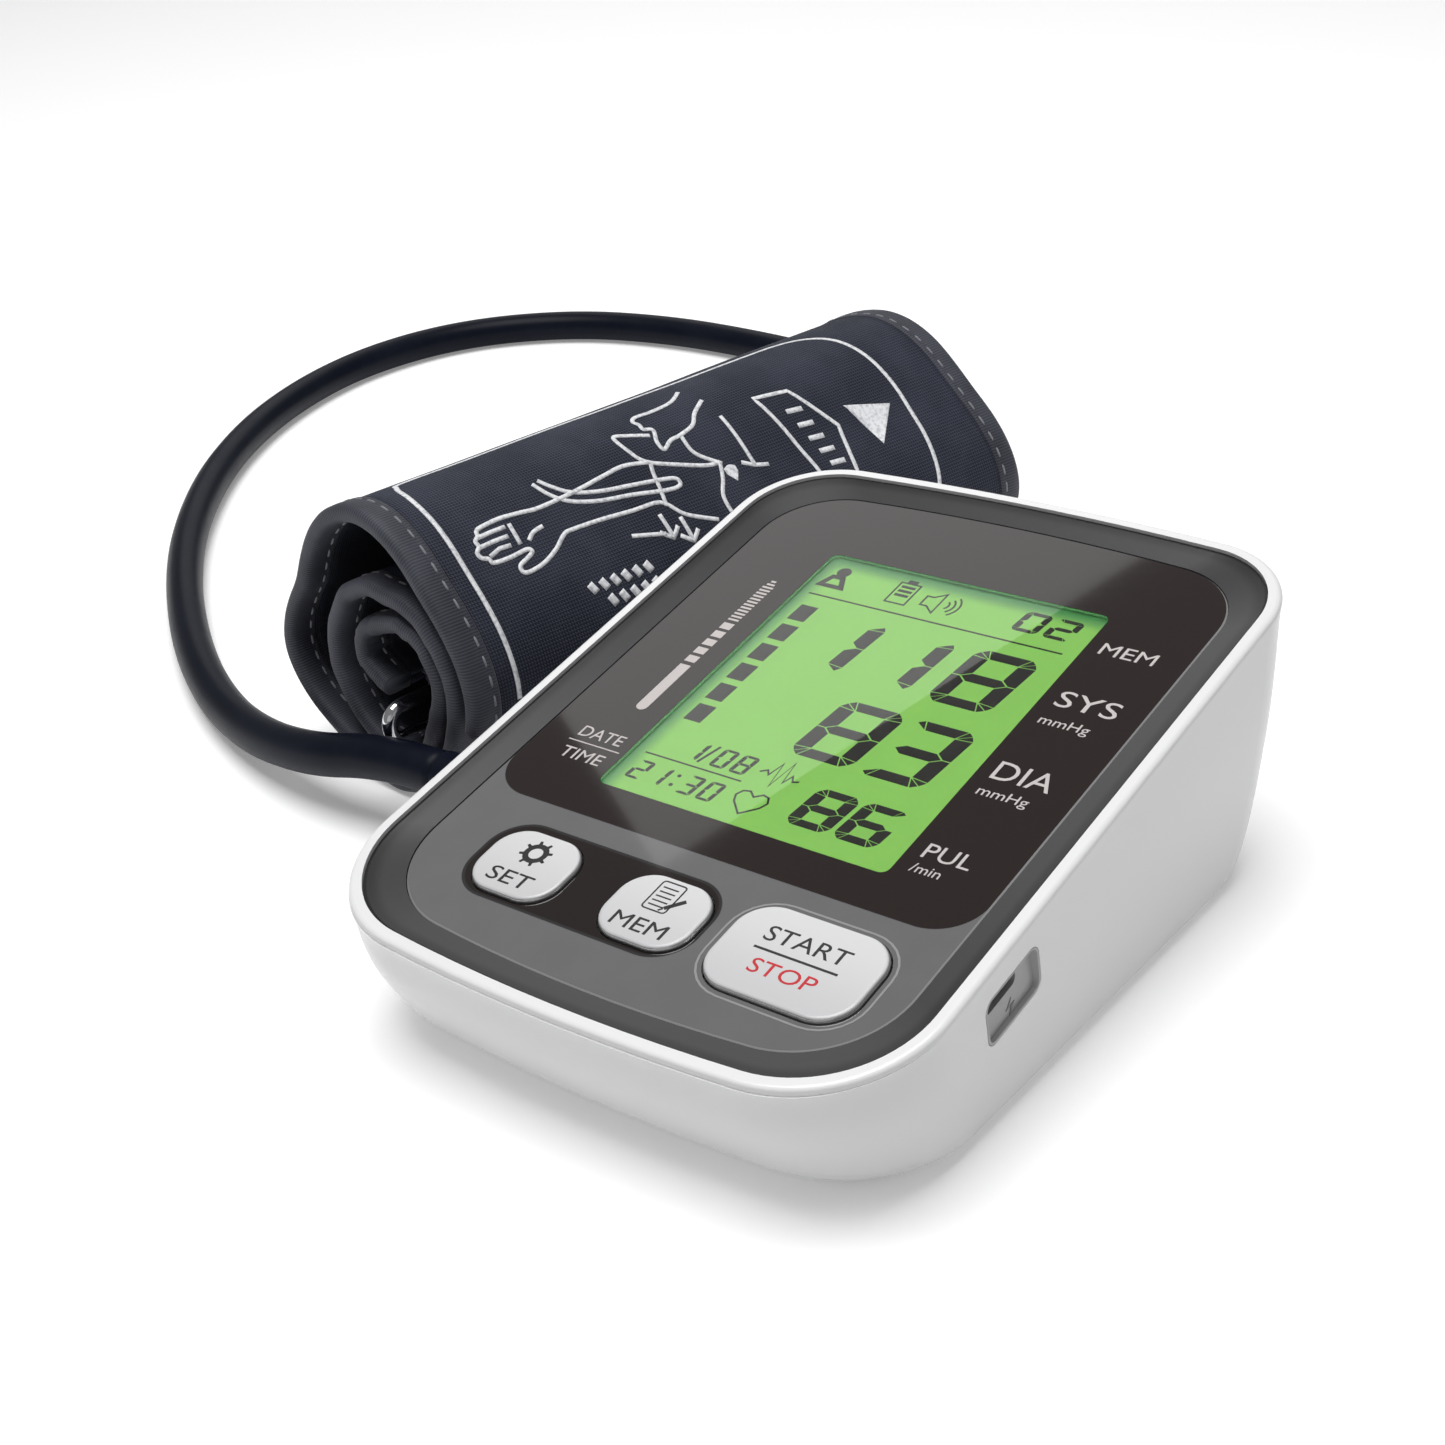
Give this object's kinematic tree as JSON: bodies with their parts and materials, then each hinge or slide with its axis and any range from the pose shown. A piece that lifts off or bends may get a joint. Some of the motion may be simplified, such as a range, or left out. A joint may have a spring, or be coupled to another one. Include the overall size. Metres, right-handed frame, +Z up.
{
  "type": "upper arm blood pressure monitor",
  "caption": "Wedge-shaped tabletop blood pressure monitor with a backlit display and push buttons, a rolled upper arm cuff and its air hose.",
  "frame": {"origin": "on the table, under the centre of the unit's sloping face", "axes": "+X to the unit's right, +Y towards its higher back edge, +Z up; the cuff lies to the left"},
  "size_m": [0.3395, 0.3076, 0.0567],
  "materials": {
    "white_plastic": "satin moulded white",
    "grey_white_plastic": "fine matte texture",
    "dark_plastic": "satin dark grey",
    "printed_panel": "glossy, printed brown-black and grey",
    "clear_window": "clear polished",
    "button_silver": "satin pearl silver",
    "lcd": "backlit yellow-green",
    "light_guide": "diffuse white",
    "rubber_grey": "matte",
    "board_green": "solder mask over glass-fibre",
    "steel": "plated",
    "grey_plastic": "satin grey",
    "contact_metal": "nickel plated",
    "cell_jacket": "plain shrink jacket",
    "motor_steel": "rolled steel can",
    "black_plastic": "moulded black",
    "hose_plug": "moulded black, ribbed",
    "hose_rubber": "matte navy-black",
    "cuff_nylon": "fine woven nylon, white print",
    "bladder_film": "thin polyurethane film",
    "cuff_lining": "brushed loop lining",
    "cuff_binding": "woven binding tape",
    "bar_chrome": "bright plated wire"
  },
  "bodies": {
    "root": {"upper_shell": "white_plastic", "base_cover": "grey_white_plastic", "face_frame": "dark_plastic", "front_panel": "printed_panel", "display_window": "clear_window", "lcd_glass": "lcd", "backlight": "light_guide", "rubber_keypad": "rubber_grey", "rubber_feet": "rubber_grey", "zebra_strip": "rubber_grey", "pump_tube": "rubber_grey", "valve_tube": "rubber_grey", "sensor_tube": "rubber_grey", "socket_tube": "rubber_grey", "circuit_board": "board_green", "case_screws": "steel", "board_screws": "steel", "usb_socket": "steel", "usb_bezel": "grey_plastic", "air_socket": "grey_plastic", "contact_plates": "contact_metal", "contact_springs": "contact_metal", "aa_cell_1": "cell_jacket", "aa_cell_2": "cell_jacket", "aa_cell_3": "cell_jacket", "aa_cell_4": "cell_jacket", "pump_motor": "motor_steel", "pump_head": "black_plastic", "air_manifold": "black_plastic", "release_valve": "black_plastic", "pressure_sensor": "black_plastic", "air_hose": "hose_rubber", "cuff_hose_sleeve": "hose_rubber", "cuff_air_port": "hose_rubber", "cuff_outer_fabric": "cuff_nylon", "cuff_bladder": "bladder_film", "cuff_inner_fabric": "cuff_lining", "near_edge_binding": "cuff_binding", "far_edge_binding": "cuff_binding", "bar_webbing": "cuff_binding"},
    "set_button": {"set_button": "button_silver"},
    "memory_button": {"memory_button": "button_silver"},
    "start_stop_button": {"start_stop_button": "button_silver"},
    "battery_door": {"battery_door": "grey_white_plastic"},
    "air_plug": {"air_plug": "hose_plug", "plug_sleeve": "hose_rubber"},
    "cuff_bar": {"cuff_bar": "bar_chrome"}
  },
  "joints": [
    {"name": "set_button_press", "type": "slide", "parent": "root", "child": "set_button", "axis": [0, 0.2028, -0.9792], "range_m": [0, 0.0006], "stiffness_N_per_m": 600},
    {"name": "memory_button_press", "type": "slide", "parent": "root", "child": "memory_button", "axis": [0, 0.2028, -0.9792], "range_m": [0, 0.0006], "stiffness_N_per_m": 600},
    {"name": "start_stop_button_press", "type": "slide", "parent": "root", "child": "start_stop_button", "axis": [0, 0.2028, -0.9792], "range_m": [0, 0.0006], "stiffness_N_per_m": 600},
    {"name": "battery_door_hinge", "type": "hinge", "parent": "root", "child": "battery_door", "pos_m": [0.0111, -0.0113, 0.0025], "axis": [-1, 0, 0], "range_deg": [0, 80]},
    {"name": "air_plug_pull", "type": "slide", "parent": "root", "child": "air_plug", "axis": [-1, 0, 0], "range_m": [0, 0.01], "deforming": ["air_hose"]},
    {"name": "cuff_bar_swing", "type": "hinge", "parent": "root", "child": "cuff_bar", "pos_m": [-0.08394, 0.06548, 0.0196], "axis": [0.1045, 0.9945, 0], "range_deg": [-8, 45]}
  ]
}
